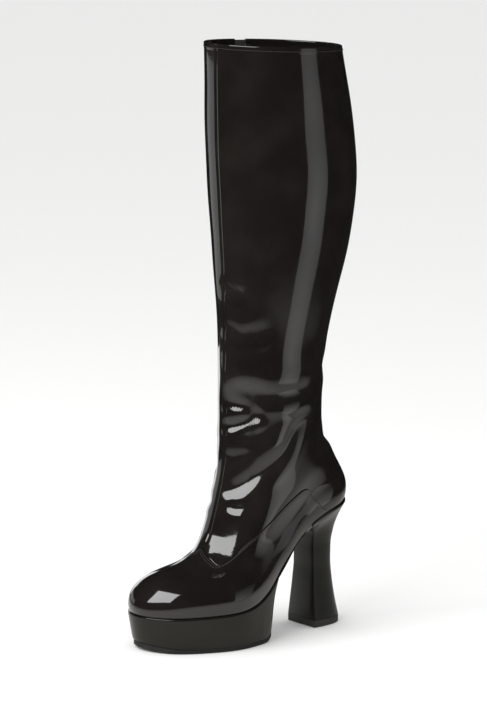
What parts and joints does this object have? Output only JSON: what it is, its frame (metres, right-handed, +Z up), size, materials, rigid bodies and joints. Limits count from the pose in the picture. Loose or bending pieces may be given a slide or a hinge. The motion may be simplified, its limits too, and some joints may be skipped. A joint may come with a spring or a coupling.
{
  "type": "platform knee boot",
  "caption": "Left knee-high boot in glossy black with a thick platform sole, a tall flared block heel and a full-length zip on its inner side.",
  "frame": {"origin": "on the floor under the ball of the foot, on the outsole's flat face", "axes": "+Z up, -Y towards the toe, +X towards the outer (lateral) side"},
  "size_m": [0.1214, 0.2178, 0.51],
  "materials": {
    "upper_patent": "high-gloss black patent",
    "insole_sock": "matt dark lining",
    "platform_cover": "glossy black patent cover",
    "outsole_rubber": "matt black rubber",
    "heel_cover": "satin-gloss black cover",
    "tip_rubber": "matt black rubber",
    "zip_tape": "black nylon tape and coil",
    "slider_metal": "black enamel",
    "pull_metal": "black enamel"
  },
  "bodies": {
    "boot": {"upper": "upper_patent", "insole": "insole_sock", "platform": "platform_cover", "outsole": "outsole_rubber", "heel": "heel_cover", "heel_tip": "tip_rubber", "zip": "zip_tape", "zip_slider": "slider_metal"},
    "pull": {"zip_pull": "pull_metal"}
  },
  "joints": [
    {"name": "pull_swing", "type": "hinge", "parent": "boot", "child": "pull", "pos_m": [-0.06109, 0.07654, 0.492], "axis": [0, 1, 0], "range_deg": [0, 165]}
  ]
}
